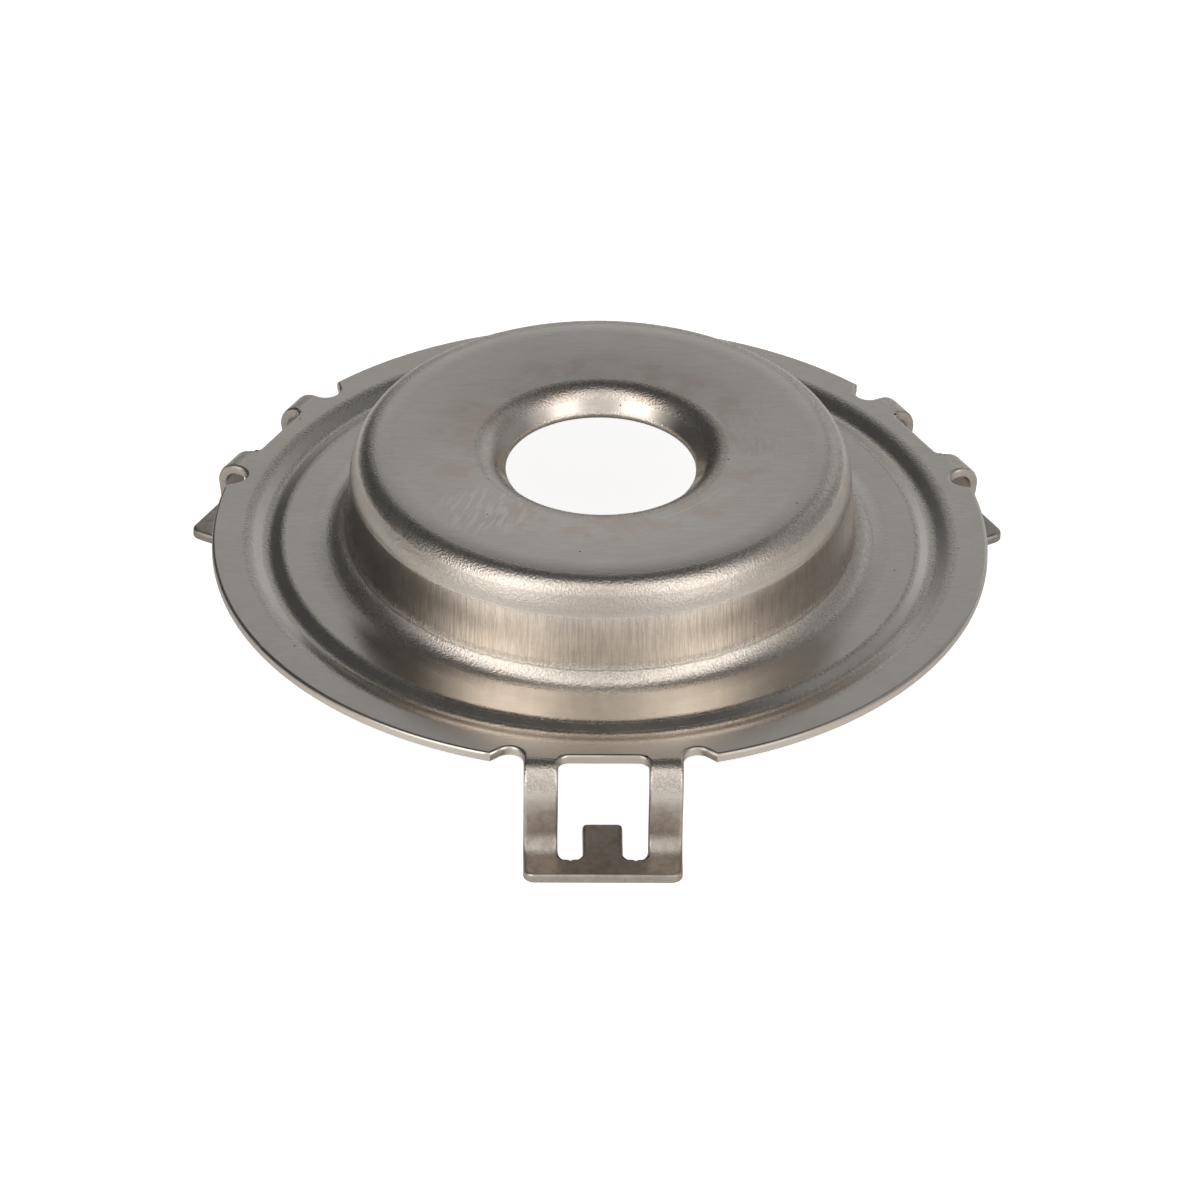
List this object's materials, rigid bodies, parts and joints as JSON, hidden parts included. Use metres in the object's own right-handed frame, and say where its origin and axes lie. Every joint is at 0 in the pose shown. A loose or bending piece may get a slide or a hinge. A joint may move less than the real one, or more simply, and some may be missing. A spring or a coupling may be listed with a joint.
{
  "type": "gas burner injector plate",
  "caption": "Round pressed steel cup with a collared centre bore, a grooved flange and folded clip legs with feet.",
  "frame": {"origin": "centre of the bore at the mouth of its turned-down collar", "axes": "+Z along the bore axis, from the feet towards the closed top of the cup, and one clip leg points along -Y"},
  "size_m": [0.0702, 0.0702, 0.0183],
  "materials": {
    "steel": "pressed stainless sheet, satin flats, grainy bends and draw lines on the cup wall"
  },
  "bodies": {
    "root": {"plate": "steel"}
  },
  "joints": []
}
